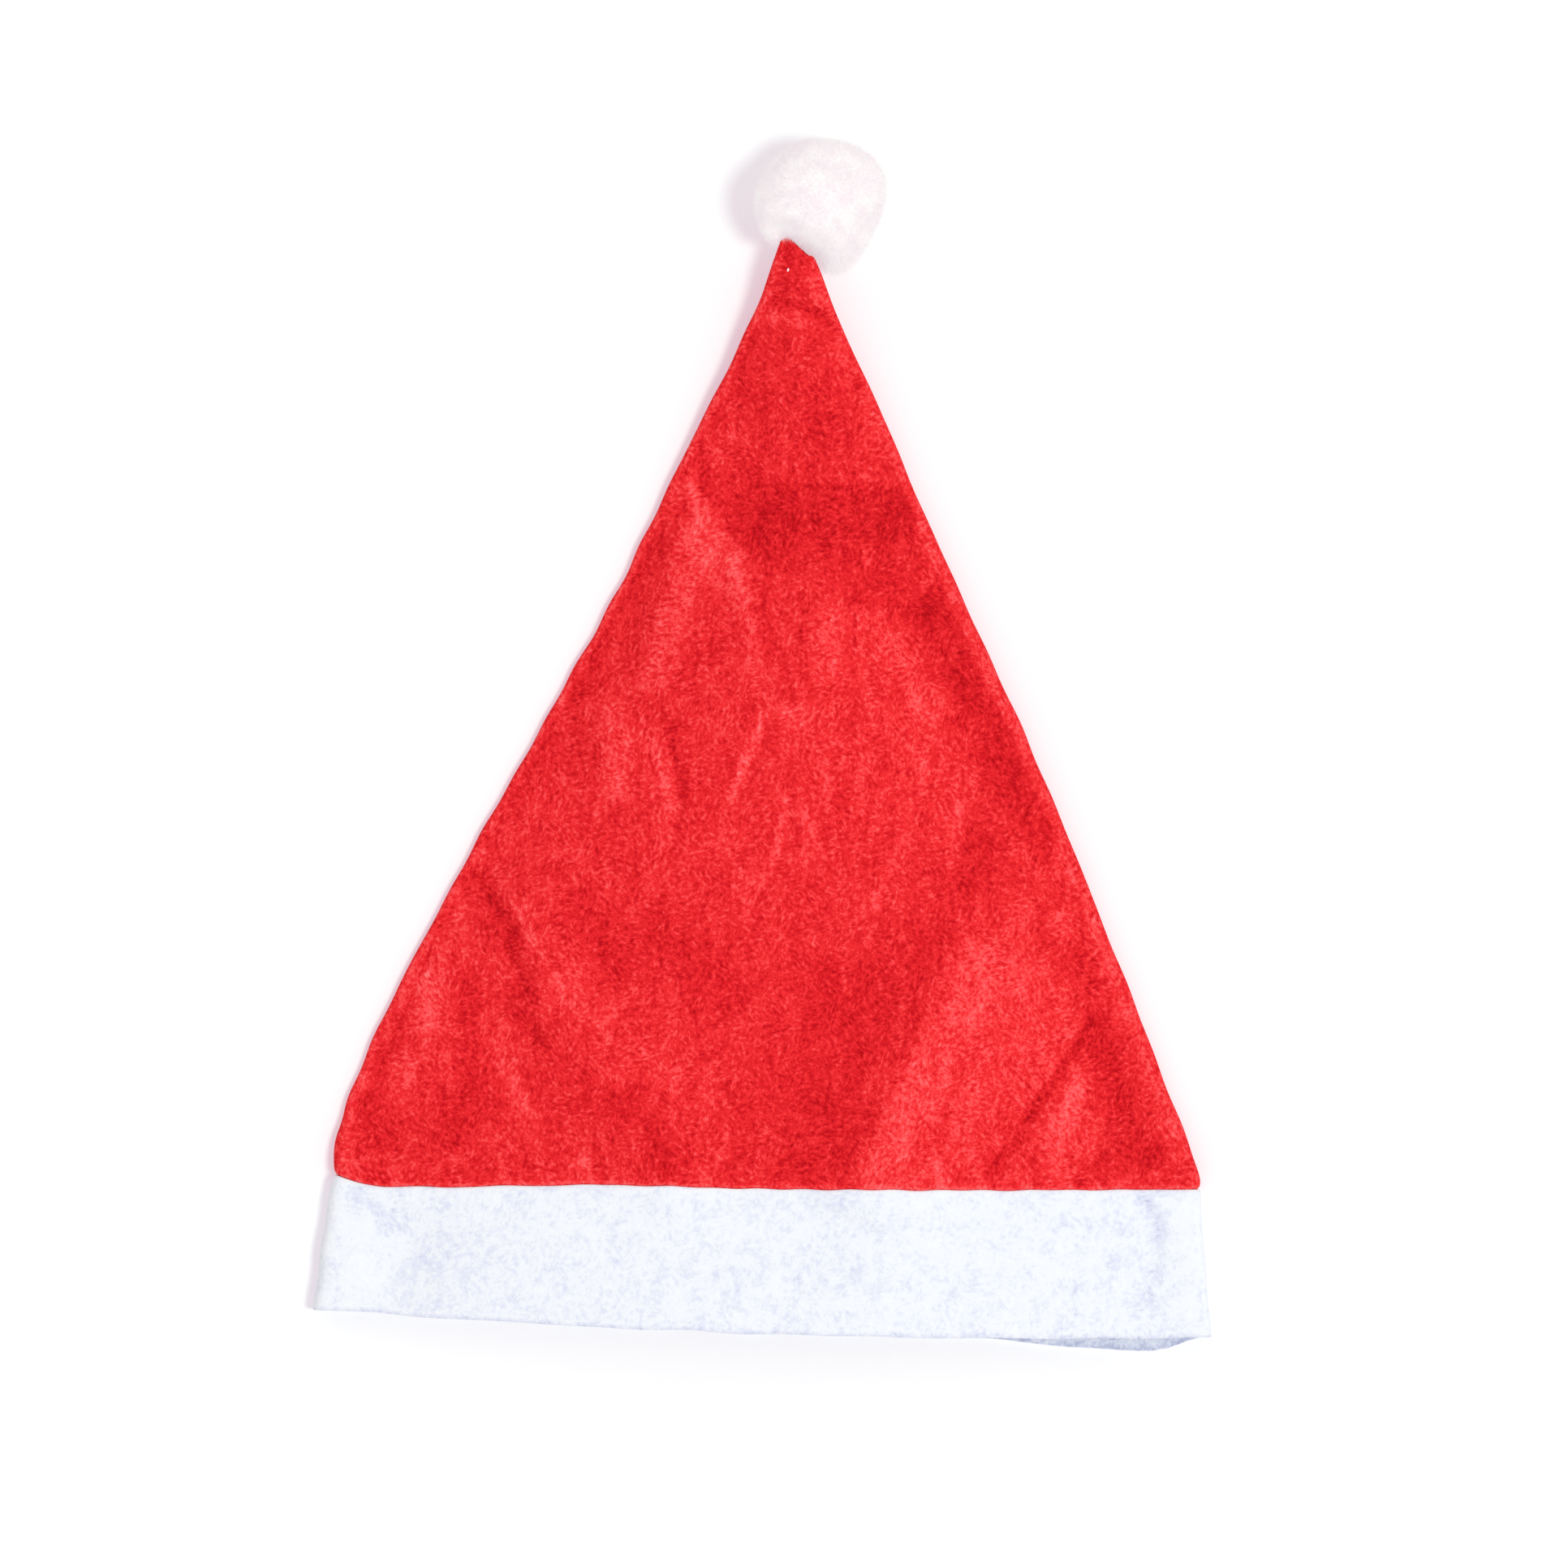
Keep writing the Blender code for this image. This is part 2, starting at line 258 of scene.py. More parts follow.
# Sections across the hat. along: from the rim (-1) over the seam (0) to the tip (1). left and right:
# the edges from the middle line, as shares of half the seam width. left_fold and right_fold: the
# gap between the felt layers in the folded edges, as shares of FOLD_GAP. dome: share of
# DOME_HEIGHT. lift: how far the underside has left the table, as a share of TIP_LIFT.
SECTION_COLUMNS = ("along", "left", "right", "left_fold", "right_fold", "dome", "lift")
SECTIONS = (
    (-1.00, -0.990, 1.006, 1.60, 0.50, 0.90, 0.00),
    (0.00, -0.983, 1.003, 1.40, 0.50, 0.85, 0.00),
    (0.04, -0.974, 0.981, 0.70, 0.75, 0.90, 0.00),
    (0.11, -0.935, 0.925, 0.65, 1.10, 0.95, 0.00),
    (0.24, -0.804, 0.816, 0.65, 1.20, 1.00, 0.00),
    (0.38, -0.641, 0.696, 0.65, 1.60, 1.00, 0.00),
    (0.52, -0.471, 0.567, 0.65, 2.00, 0.95, 0.00),
    (0.66, -0.306, 0.428, 0.75, 1.80, 0.70, 0.02),
    (0.78, -0.181, 0.316, 0.85, 1.20, 0.35, 0.12),
    (0.90, -0.048, 0.203, 0.90, 1.00, 0.18, 0.42),
    (0.96, 0.013, 0.153, 0.90, 0.90, 0.10, 0.78),
    (1.00, 0.043, 0.118, 0.65, 0.65, 0.05, 1.00),
)

# How far the seam bows up towards the tip, in millimetres, at places across the hat, in metres from
# the middle line.
SEAM_BOW = (
    (-0.134, 1.1),
    (-0.098, 0.9),
    (-0.078, 1.4),
    (-0.046, 1.8),
    (-0.016, 0.9),
    (0.003, 0.4),
    (0.07, 0.0),
)

# Folds of the upper layer, each along a line between two of the photograph's pixels. bend: how far
# the line's middle lies to its left, as a share of its length. height: of the ridge, or depth of
# the dent, in millimetres. left and right: how far it reaches to either side as one looks from its
# start to its end, in millimetres. crisp: 1 is a sharp crease and 2 a round one.
LINE_COLUMNS = ("x0", "y0", "x1", "y1", "bend", "height", "left", "right", "crisp")
FOLDS = (
    # The hollow across the crown below its upper third, and the trough inside its right edge
    (862, 598, 1118, 620, 0.00, -3.4, 10, 20, 1.3),
    (1100, 690, 1243, 1010, 0.00, -3.6, 11, 24, 1.8),
    (1326, 1221, 1391, 1429, 0.00, -3.4, 10, 14, 1.8),
    # The broad ridge that falls off to the right, and the crease across it
    (1181, 1152, 1047, 1487, 0.00, 4.8, 41, 16, 1.4),
    (1342, 1262, 1222, 1442, 0.00, -1.8, 3.2, 1.8, 1.3),
    # Ridges and creases on the lower left
    (616, 1083, 681, 1221, 0.00, 2.6, 17, 8.4, 1.8),
    (649, 1233, 853, 1487, 0.00, 2.4, 17, 9.6, 1.8),
    (509, 1152, 509, 1325, 0.00, 2.2, 14, 10.8, 1.8),
    (588, 1082, 640, 1158, 0.00, -1.3, 2.6, 2.6, 1.4),
    (622, 1165, 650, 1225, 0.00, -1.2, 2.4, 2.4, 1.4),
    (640, 1250, 668, 1282, 0.00, -1.2, 2.6, 2.6, 1.4),
    (668, 1282, 838, 1440, 0.00, -0.7, 4.0, 3.0, 1.5),
    # Ridges on the left of the middle
    (838, 650, 790, 840, 0.00, 1.6, 12, 6, 1.7),
    (848, 600, 860, 650, 0.00, 0.9, 3, 2.2, 1.5),
    (902, 690, 922, 810, 0.00, 0.9, 6, 4, 1.6),
    (745, 870, 748, 975, 0.00, 1.4, 8, 8, 1.8),
    (1006, 730, 1008, 830, 0.00, 0.9, 7, 7, 1.8),
    # Short upright wrinkles in the middle
    (819, 905, 835, 985, 0.05, -0.7, 2.0, 2.0, 1.4),
    (835, 985, 824, 1052, 0.05, -0.6, 2.0, 2.0, 1.4),
    (950, 885, 913, 985, 0.00, -0.6, 2.0, 2.0, 1.5),
    (976, 985, 965, 1050, 0.00, -0.5, 1.8, 1.8, 1.5),
    (963, 1050, 942, 1100, 0.00, -0.4, 1.8, 1.8, 1.5),
    (996, 995, 1016, 1045, 0.00, -0.5, 1.8, 1.8, 1.5),
    (1112, 1050, 1088, 1115, 0.00, -0.5, 2.0, 2.0, 1.5),
    (1150, 925, 1148, 970, 0.00, -0.4, 2.0, 2.0, 1.5),
    (1192, 990, 1180, 1060, 0.00, -0.5, 2.4, 2.4, 1.6),
    # Creases near the tip
    (952, 376, 1026, 404, 0.10, -1.0, 1.6, 2.2, 1.4),
    (985, 410, 1010, 412, 0.00, -0.4, 1.4, 1.4, 1.5),
    (908, 488, 938, 491, 0.00, -0.6, 1.8, 1.8, 1.5),
    (1022, 432, 1062, 500, 0.00, -0.5, 2.4, 2.4, 1.6),
    # The seam line inside the left edge
    (562, 1088, 432, 1398, 0.01, -0.7, 1.3, 1.0, 1.5),
    # The band's own hollows
    (519, 1487, 476, 1603, 0.00, -1.8, 12, 12, 2.0),
    (420, 1468, 490, 1502, 0.00, -0.9, 3.0, 3.0, 1.6),
    (1412, 1464, 1423, 1626, 0.00, -1.6, 9.6, 9.6, 2.0),
    (1402, 1472, 1426, 1512, 0.00, -1.1, 2.2, 2.2, 1.4),
    (1426, 1512, 1424, 1585, 0.00, -0.8, 2.0, 2.0, 1.4),
    (1100, 1487, 1057, 1637, 0.00, 1.4, 17, 17, 2.0),
)

# Lines where the felt looks paler or deeper, like those of the folds: partly where the nap was stroked
# # one way or the other, partly painted shade in the creases and hollows and painted highlights on the
# # ridges. height: how much paler the felt looks, or deeper where it is negative.
NAP_AND_SHADE_STROKES = (
    # Round the tip
    (975, 315, 968, 352, 0.00, -0.34, 4.5, 4.0, 2.0),
    (998, 345, 1005, 372, 0.00, 0.34, 1.8, 1.8, 2.0),
    (952, 374, 1026, 402, 0.10, -0.40, 1.2, 1.6, 2.0),
    (950, 392, 975, 398, 0.00, 0.28, 1.5, 1.8, 2.0),
    (985, 410, 1008, 412, 0.00, -0.20, 0.9, 0.9, 2.0),
    (1032, 430, 1048, 455, 0.00, 0.32, 2.0, 2.0, 2.0),
    (1066, 485, 1112, 590, 0.00, 0.14, 2.0, 3.0, 2.0),
    (908, 488, 938, 490, 0.00, -0.22, 1.6, 1.6, 2.0),
    (897, 485, 902, 528, 0.00, 0.28, 1.2, 1.2, 2.0),
    (985, 425, 975, 588, 0.00, -0.13, 24, 24, 3.0),
    (1000, 520, 1055, 545, 0.00, -0.10, 6.0, 6.0, 2.0),
    (942, 382, 845, 585, 0.00, -0.22, 3.5, 3.0, 2.0),
    # The deep swath across and down the right side
    (940, 596, 1120, 604, 0.00, -0.33, 0.9, 26, 3.0),
    (862, 598, 926, 688, 0.00, -0.34, 14, 0.9, 2.5),
    (1040, 708, 1135, 752, 0.00, -0.20, 8.0, 7.0, 2.5),
    (938, 700, 948, 810, 0.00, -0.16, 3.0, 3.0, 2.0),
    (1146, 748, 1285, 1032, 0.00, -0.31, 7.0, 8.0, 3.0),
    (1130, 640, 1300, 1010, 0.00, 0.16, 1.2, 1.6, 2.0),
    (800, 668, 625, 985, 0.00, -0.16, 4.0, 3.0, 2.0),
    # Pale swaths left of the middle
    (852, 602, 862, 640, 0.00, 0.40, 1.8, 1.8, 2.0),
    (850, 668, 908, 700, 0.00, 0.34, 8.0, 8.0, 2.0),
    (846, 722, 800, 840, 0.00, 0.26, 5.0, 5.0, 2.0),
    (908, 695, 932, 812, 0.00, 0.28, 2.5, 4.0, 2.0),
    (878, 745, 862, 812, 0.00, -0.14, 4.0, 5.0, 2.0),
    (806, 668, 706, 858, 0.00, -0.14, 3.5, 2.5, 2.0),
    (1020, 730, 1022, 832, 0.00, 0.16, 4.5, 4.5, 2.0),
    (1050, 740, 1052, 890, 0.00, -0.18, 1.6, 2.0, 2.0),
    (1098, 795, 1142, 882, 0.00, 0.20, 8.0, 5.0, 2.0),
    (955, 876, 1030, 880, 0.00, 0.22, 2.5, 2.5, 2.0),
    (752, 870, 758, 975, 0.00, 0.30, 3.5, 3.5, 2.0),
    # Wrinkles in the middle
    (806, 915, 822, 990, 0.03, 0.52, 1.3, 1.3, 2.0),
    (822, 990, 812, 1050, 0.03, 0.34, 1.1, 1.1, 2.0),
    (828, 900, 846, 985, 0.00, -0.20, 1.8, 1.8, 2.0),
    (940, 885, 903, 985, 0.00, 0.44, 1.2, 1.8, 2.0),
    (968, 985, 956, 1050, 0.00, 0.28, 1.3, 1.3, 2.0),
    (955, 1050, 932, 1100, 0.00, 0.24, 1.2, 1.2, 2.0),
    (988, 995, 1008, 1045, 0.00, 0.26, 1.3, 1.3, 2.0),
    (1102, 1050, 1078, 1115, 0.00, 0.20, 1.5, 1.5, 2.0),
    (1140, 925, 1138, 970, 0.00, 0.24, 1.3, 1.3, 2.0),
    (1182, 990, 1170, 1060, 0.00, 0.20, 1.6, 1.6, 2.0),
    (1085, 1040, 1075, 1085, 0.00, -0.16, 2.0, 2.0, 2.0),
    (1216, 1030, 1200, 1100, 0.00, -0.08, 5.0, 5.0, 2.0),
    # The lower left
    (588, 1082, 640, 1158, 0.00, -0.36, 2.0, 2.0, 2.0),
    (615, 1076, 662, 1165, 0.00, 0.22, 1.5, 1.5, 2.0),
    (662, 1165, 702, 1238, 0.00, 0.26, 1.5, 1.5, 2.0),
    (566, 1125, 548, 1185, 0.00, 0.22, 1.5, 1.5, 2.0),
    (622, 1165, 650, 1225, 0.00, -0.34, 2.0, 2.2, 2.0),
    (640, 1250, 668, 1282, 0.00, -0.34, 2.2, 2.2, 2.0),
    (690, 1298, 770, 1372, 0.00, -0.12, 4.0, 4.0, 2.0),
    (775, 1345, 838, 1440, 0.00, -0.22, 4.0, 4.0, 2.0),
    (715, 1105, 765, 1215, 0.00, -0.24, 10.0, 9.0, 2.0),
    (800, 1130, 905, 1238, 0.00, -0.24, 9.0, 8.0, 2.0),
    (700, 1230, 835, 1330, 0.00, 0.14, 3.0, 3.0, 2.0),
    (532, 1206, 528, 1262, 0.00, 0.40, 5.0, 5.0, 2.0),
    (505, 1300, 500, 1336, 0.00, 0.26, 4.0, 4.0, 2.0),
    (578, 1206, 585, 1330, 0.00, -0.26, 4.5, 4.5, 2.0),
    (560, 1346, 560, 1406, 0.00, -0.30, 8.0, 8.0, 2.0),
    (458, 1356, 470, 1406, 0.00, -0.24, 5.0, 5.0, 2.0),
    (608, 1262, 650, 1372, 0.00, 0.26, 3.5, 3.5, 2.0),
    (645, 1400, 648, 1445, 0.00, -0.18, 2.5, 2.5, 2.0),
    (722, 1395, 722, 1445, 0.00, 0.20, 1.8, 1.8, 2.0),
    (758, 1340, 766, 1400, 0.00, -0.16, 2.0, 2.0, 2.0),
    (805, 1392, 820, 1445, 0.00, -0.24, 4.0, 4.0, 2.0),
    (562, 1088, 432, 1398, 0.01, -0.30, 0.7, 0.7, 2.0),
    # The lower middle and the lower right
    (1035, 1190, 990, 1450, 0.00, -0.20, 18, 16, 3.0),
    (1222, 1035, 1120, 1185, 0.00, -0.17, 9.0, 9.0, 2.5),
    (912, 1340, 915, 1445, 0.00, -0.20, 3.5, 3.5, 2.0),
    (1190, 1165, 1045, 1440, 0.03, 0.28, 26, 0.9, 1.6),
    (1258, 1112, 1190, 1200, 0.00, 0.16, 7.0, 1.6, 1.6),
    (1165, 1262, 1100, 1400, 0.00, 0.08, 3.0, 3.0, 2.0),
    (1232, 1200, 1160, 1330, 0.00, 0.12, 2.0, 2.0, 2.0),
    (1215, 1255, 1150, 1405, 0.00, -0.14, 1.8, 1.8, 2.0),
    (1150, 1385, 1120, 1445, 0.00, -0.16, 2.4, 2.4, 2.0),
    (1342, 1262, 1218, 1440, 0.00, -0.85, 1.2, 1.2, 2.0),
    (1330, 1312, 1290, 1405, 0.00, 0.24, 5.0, 1.6, 2.0),
    (1325, 1345, 1302, 1440, 0.00, 0.16, 4.0, 4.0, 2.0),
    (1325, 1172, 1362, 1295, 0.00, -0.25, 5.0, 6.0, 2.5),
    (1362, 1295, 1400, 1420, 0.00, -0.23, 6.0, 8.0, 2.5),
    (1415, 1425, 1450, 1408, 0.00, -0.34, 2.5, 2.5, 2.0),
    (1305, 1040, 1455, 1415, 0.00, 0.20, 2.0, 2.5, 2.0),
    # The band
    (425, 1468, 492, 1502, 0.00, -0.42, 3.0, 4.0, 2.0),
    (408, 1466, 398, 1606, 0.00, -0.10, 4.0, 4.0, 2.5),
    (446, 1506, 442, 1600, 0.00, 0.30, 5.0, 5.0, 2.0),
    (515, 1560, 610, 1566, 0.00, -0.14, 6.0, 6.0, 2.0),
    (1402, 1472, 1428, 1512, 0.00, -0.42, 2.4, 2.4, 2.0),
    (1430, 1512, 1412, 1600, 0.00, -0.28, 3.0, 3.0, 2.0),
    (1375, 1480, 1388, 1530, 0.00, -0.16, 2.4, 2.4, 2.0),
    (1455, 1480, 1470, 1620, 0.00, 0.24, 3.0, 4.0, 2.0),
    (1380, 1490, 1390, 1600, 0.00, -0.12, 6.0, 6.0, 2.0),
)

# How finely the felt is modelled
TOP_COLUMNS = 200
ROUND_COLUMNS = 14
UNDER_COLUMNS = 56
EDGE_CROWDING = 0.55
CROWN_STEP = 0.0015
LINING_STEP = 0.006


def smooth_step(low, high, value):
    t = np.clip((value - low) / (high - low), 0.0, 1.0)
    return t * t * (3 - 2 * t)


def read_along(column, along):
    """A column of the sections at places along the hat, on a curve that never overshoots them."""
    rows = np.array(SECTIONS)
    xs, ys = rows[:, 0], rows[:, SECTION_COLUMNS.index(column)]
    rises = np.diff(ys) / np.diff(xs)
    slopes = [rises[0]]
    for before, after in zip(rises, rises[1:]):
        slopes.append(2 * before * after / (before + after) if before * after > 0 else 0.0)
    slopes = np.array(slopes + [rises[-1]])
    at = np.clip(along, xs[0], xs[-1])
    i = np.clip(np.searchsorted(xs, at, side="right") - 1, 0, len(xs) - 2)
    step = xs[i + 1] - xs[i]
    t = (at - xs[i]) / step
    return (
        ys[i] * (1 + 2 * t) * (1 - t) ** 2
        + ys[i + 1] * t * t * (3 - 2 * t)
        + slopes[i] * step * t * (1 - t) ** 2
        - slopes[i + 1] * step * t * t * (1 - t)
    )


def wobble(places, size, shortest, seed):
    """A smooth irregular wave along an edge that was cut and sewn by hand."""
    dice = np.random.default_rng(seed)
    total = np.zeros_like(places)
    for _ in range(5):
        wave = shortest * (1 + 3 * dice.random())
        total += np.sin(2 * math.pi * (places / wave + dice.random())) * dice.uniform(0.4, 1)
    return size * total / 2


def along_lines(table, x, y, taper):
    """The sum of a table's lines at points. taper: how far a line fades towards its ends."""
    total = np.zeros_like(x)
    for row in table:
        line = dict(zip(LINE_COLUMNS, row))
        start = np.array((line["x0"] - MIDDLE_COLUMN, SEAM_ROW - line["y0"])) * PIXEL
        end = np.array((line["x1"] - MIDDLE_COLUMN, SEAM_ROW - line["y1"])) * PIXEL
        span = end - start
        left_of = np.array((-span[1], span[0]))
        steps = 1 if line["bend"] == 0 else 8
        bowed = [
            start + span * k / steps + left_of * line["bend"] * 4 * (k / steps) * (1 - k / steps)
            for k in range(steps + 1)
        ]
        nearest = np.full(x.shape, np.inf)
        side = np.zeros_like(x)
        beyond = np.zeros_like(x)
        share_at = np.zeros_like(x)
        for k, (a, b) in enumerate(zip(bowed, bowed[1:])):
            length = math.hypot(*(b - a))
            way = (b - a) / length
            dx, dy = x - a[0], y - a[1]
            run = dx * way[0] + dy * way[1]
            reached = np.clip(run, 0, length)
            off_side = way[0] * dy - way[1] * dx
            distance = np.hypot(off_side, run - reached)
            closer = distance < nearest
            nearest = np.where(closer, distance, nearest)
            side = np.where(closer, off_side, side)
            beyond = np.where(closer, run - reached, beyond)
            share_at = np.where(closer, (k + reached / length) / steps, share_at)
        reach = np.where(side > 0, line["left"], line["right"]) * 0.001
        ends = smooth_step(0, 0.2, share_at) * smooth_step(1, 0.8, share_at)
        fall = (np.abs(side) / reach) ** line["crisp"] + (beyond / LINE_CAP) ** 2
        total += line["height"] * (1 - taper + taper * ends) * np.exp(-fall)
    return total


def fold_height(x, y):
    """How far the folds raise the upper layer, in metres."""
    return along_lines(FOLDS, x, y, 0.6) * 0.001


def loop_places():
    """Places round a section: over the top to the right, round, back underneath and up again.

    across runs from -1 at the left edge to 1 at the right one, and turn from 0 on top to pi below.
    """
    even = np.linspace(-1, 1, TOP_COLUMNS + 1)
    top = even * (1 - EDGE_CROWDING) + np.sin(even * math.pi / 2) * EDGE_CROWDING
    turn = np.linspace(0, math.pi, ROUND_COLUMNS + 1)[1:-1]
    under = np.linspace(1, -1, UNDER_COLUMNS + 1)
    across = np.concatenate([top, np.ones_like(turn), under, -np.ones_like(turn)])
    turns = np.concatenate([np.zeros_like(top), turn, np.full_like(under, math.pi), turn[::-1]])
    return across, turns


ACROSS, TURNS = loop_places()


def stray(y, x, from_left):
    """How far points stray along the hat from their straight row."""
    seam = SEAM_CORNER_LIFT * np.clip(1 - from_left / SEAM_CORNER_REACH, 0, 1) ** SEAM_CORNER_CURVE
    seam = seam + np.interp(x, *np.transpose(SEAM_BOW)) * 0.001 + wobble(x, SEAM_WAVE, 0.011, 3)
    near_seam = smooth_step(0.12 * CROWN_LENGTH, 0.0, y)
    near_tip = smooth_step(0.85 * CROWN_LENGTH, CROWN_LENGTH, y)
    on_crown = seam * near_seam - TIP_SLANT / 2 * ACROSS * near_tip
    start, full, ease, end = PEEK_SHARES
    rim = RIM_SLANT * -ACROSS + RIM_BOW * ACROSS**2 + wobble(x, RIM_WAVE, 0.014, 5)
    peek = smooth_step(start, full, ACROSS) * smooth_step(end, ease, ACROSS)
    rim = rim - np.where(TURNS == math.pi, UNDER_LAYER_PEEK * peek, 0)
    down = np.clip(-y / BAND_HEIGHT, 0, 1)
    return np.where(y > 0, on_crown, seam * (1 - down) + rim * down)


def felt_loops(rows):
    """Closed loops round the hat, one for each row of (place along, inset), and the tone of each point.

    The inset is counted from the hat's outer surface. The tone is partly nap and partly painted light
    and shade: the felt is painted paler where a fold leans towards the lamp and deeper where it leans
    away.
    """
    y = np.array([row[0] for row in rows])[:, None]
    inset = np.array([row[1] for row in rows])[:, None]
    along = np.where(y > 0, y / CROWN_LENGTH, y / BAND_HEIGHT)
    half = SEAM_WIDTH / 2
    down = np.clip(-y / BAND_HEIGHT, 0, 1)
    flare = (RIM_WIDTH - SEAM_WIDTH) / 2 * down
    aside = RIM_SHIFT * down
    left = half * read_along("left", along) - flare + aside + inset
    left = left + wobble(y, EDGE_WAVE, 0.016, 11)
    right = half * read_along("right", along) + flare + aside - inset
    right = right + wobble(y, EDGE_WAVE, 0.016, 12)
    layers = 2 * FELT + 2 * (FELT + CLEARANCE) * smooth_step(0.11 * CROWN_LENGTH, 0.0, y)
    left_fold = layers + FOLD_GAP * read_along("left_fold", along) - 2 * inset
    right_fold = layers + FOLD_GAP * read_along("right_fold", along) - 2 * inset
    share = (ACROSS + 1) / 2
    fold = left_fold * (1 - share) + right_fold * share
    inner_left, inner_right = left + left_fold / 2, right - right_fold / 2
    x = inner_left + (inner_right - inner_left) * share
    bulge = ACROSS * fold / 2 * np.sin(TURNS).clip(0) ** EDGE_SQUARENESS
    outer_x = x + np.where(np.abs(ACROSS) == 1, bulge, 0)
    row_y = y + stray(y, x, outer_x - left)
    window = 1 - np.abs(ACROSS) ** EDGE_HOLD
    folds = fold_height(x, row_y) * window
    dome = DOME_HEIGHT * read_along("dome", along) * (1 - ACROSS**2).clip(0) ** DOME_ROUNDNESS
    z = TIP_LIFT * read_along("lift", along) + inset + fold / 2 * (1 + np.cos(TURNS))
    z = z + np.where(TURNS == 0, dome + folds, 0)
    rise_x = fold_height(x + SLOPE_REACH, row_y) - fold_height(x - SLOPE_REACH, row_y)
    rise_y = fold_height(x, row_y + SLOPE_REACH) - fold_height(x, row_y - SLOPE_REACH)
    slope_x, slope_y = rise_x / (2 * SLOPE_REACH), rise_y / (2 * SLOPE_REACH)
    # Painted light and shade: paler where the folds lean towards the lamp, darker where they lean away;
    # then the stroked nap with painted shade in the creases.
    painted_slope_light = PAINTED_LIGHT_TOWARDS[0] * -slope_x + PAINTED_LIGHT_TOWARDS[1] * -slope_y
    nap = np.where(TURNS == 0, painted_slope_light * window + along_lines(NAP_AND_SHADE_STROKES, x, row_y, 0.0), 0)
    gathers = wobble(x + 0.25 * y, GATHER_SHADE, 0.0055, 17) * np.exp(-y.clip(0) / GATHER_REACH)
    nap = nap + np.where((TURNS == 0) & (y > 0), gathers, 0)
    nap = NAP_AND_SHADE_LIMIT * np.tanh(nap / NAP_AND_SHADE_LIMIT)
    # A painted highlight along the folded edges.
    nap = nap + EDGE_HIGHLIGHT * np.abs(ACROSS) ** EDGE_HIGHLIGHT_HOLD * (TURNS < math.pi / 2)
    # A painted highlight just above the seam.
    nap = nap + SEAM_HIGHLIGHT * smooth_step(0.0014, 0.0002, y) * (y >= 0)
    # Painted shade along the cut rim.
    nap = nap - RIM_SHADE * smooth_step(-BAND_HEIGHT + 0.0016, -BAND_HEIGHT, y)
    # Painted shade on the felt's inner surface.
    nap = nap - INSIDE_SHADE * smooth_step(0.0012, FELT, inset)
    return np.stack([outer_x + MIDDLE_X, row_y + SEAM_Y, z], axis=2), nap


def felt_skin(name, rows, finish, ring):
    """A grid whose rows are loops, welded along its side. As a ring, its ends meet too."""
    places, nap = felt_loops(rows)
    around = places.shape[1]
    shape = bmesh.new()
    nap_and_shade_layer = shape.verts.layers.float.new("nap")
    bmesh.ops.create_grid(shape, x_segments=around, y_segments=len(rows) - 1, size=0.5)
    for vert in shape.verts:
        column = round((vert.co.x + 0.5) * around) % around
        row = round((vert.co.y + 0.5) * (len(rows) - 1))
        vert[nap_and_shade_layer] = nap[row, column]
        vert.co = places[row, column]
    bmesh.ops.remove_doubles(shape, verts=shape.verts, dist=1e-7)
    if not ring:
        open_edges = [edge for edge in shape.edges if edge.is_boundary]
        caps = bmesh.ops.holes_fill(shape, edges=open_edges)["faces"]
        bmesh.ops.poke(shape, faces=caps)
    bmesh.ops.recalc_face_normals(shape, faces=shape.faces)
    mesh = bpy.data.meshes.new(name)
    shape.to_mesh(mesh)
    shape.free()
    mesh.materials.append(finish.material)
    mesh.shade_smooth()
    made = bpy.data.objects.new(name, mesh)
    bpy.context.scene.collection.objects.link(made)
    return made


MAIN_LIE = math.radians(130)
PATCH_PULL = 1.6


def fibre_pattern(finish, place, length, width, patch, turns=3):
    """Short strands that run different ways from patch to patch: stretched noises, one a patch."""
    strands_and_patch, patches = None, None
    for k in range(turns):
        turned = finish.node(
            "Mapping",
            {"vector_type": "TEXTURE"},
            Vector=place,
            Rotation=(0, 0, MAIN_LIE + math.pi * k / turns),
            Scale=(length, width, width),
            Location=(k * 0.013, k * 0.007, 0),
        )
        strands = finish.node("TexNoise", Vector=turned, Scale=1.0, Detail=1.0, Roughness=0.7)
        spot = finish.node("Mapping", Vector=place, Location=(k * 0.37, k * 0.21, 0))
        here = finish.node("TexNoise", Vector=spot, Scale=1 / patch, Detail=0.0) * PATCH_PULL
        both = strands + here
        strands_and_patch = both if k == 0 else strands_and_patch.highest(both)
        patches = here if k == 0 else patches.highest(here)
    return strands_and_patch - patches


STREAK_SIZE = (0.0035, 0.013, 0.0035)
RED_DEEPEST = (0.40, 0.004, 0.008)
RED_DEEP = (0.62, 0.010, 0.016)
RED = (0.82, 0.026, 0.031)
RED_PALE = (0.93, 0.085, 0.090)
RED_PALEST = (0.94, 0.17, 0.17)

red_felt = Finish("red_felt", 0.95)
place = red_felt.node("TexCoord", output=3)
fibres = fibre_pattern(red_felt, place, 0.0017, 0.0011, 0.009)
fine = red_felt.node("TexNoise", Vector=place, Scale=1800.0, Detail=2.0, Roughness=0.6)
cloudy = red_felt.node("TexNoise", Vector=place, Scale=200.0, Detail=2.0, Roughness=0.6)
streaky = red_felt.node(
    "TexNoise",
    Vector=red_felt.node("Mapping", {"vector_type": "TEXTURE"}, Vector=place, Scale=STREAK_SIZE),
    Scale=1.0,
    Detail=2.0,
    Distortion=0.6,
)
nap = red_felt.node("Attribute", {"attribute_name": "nap"}, output=2)
level = (fibres - 0.56) * 2.4 + (fine - 0.5) * 0.4 + (cloudy - 0.5) * 0.25
level = level + (streaky - 0.5) * 0.9 + nap + 0.5
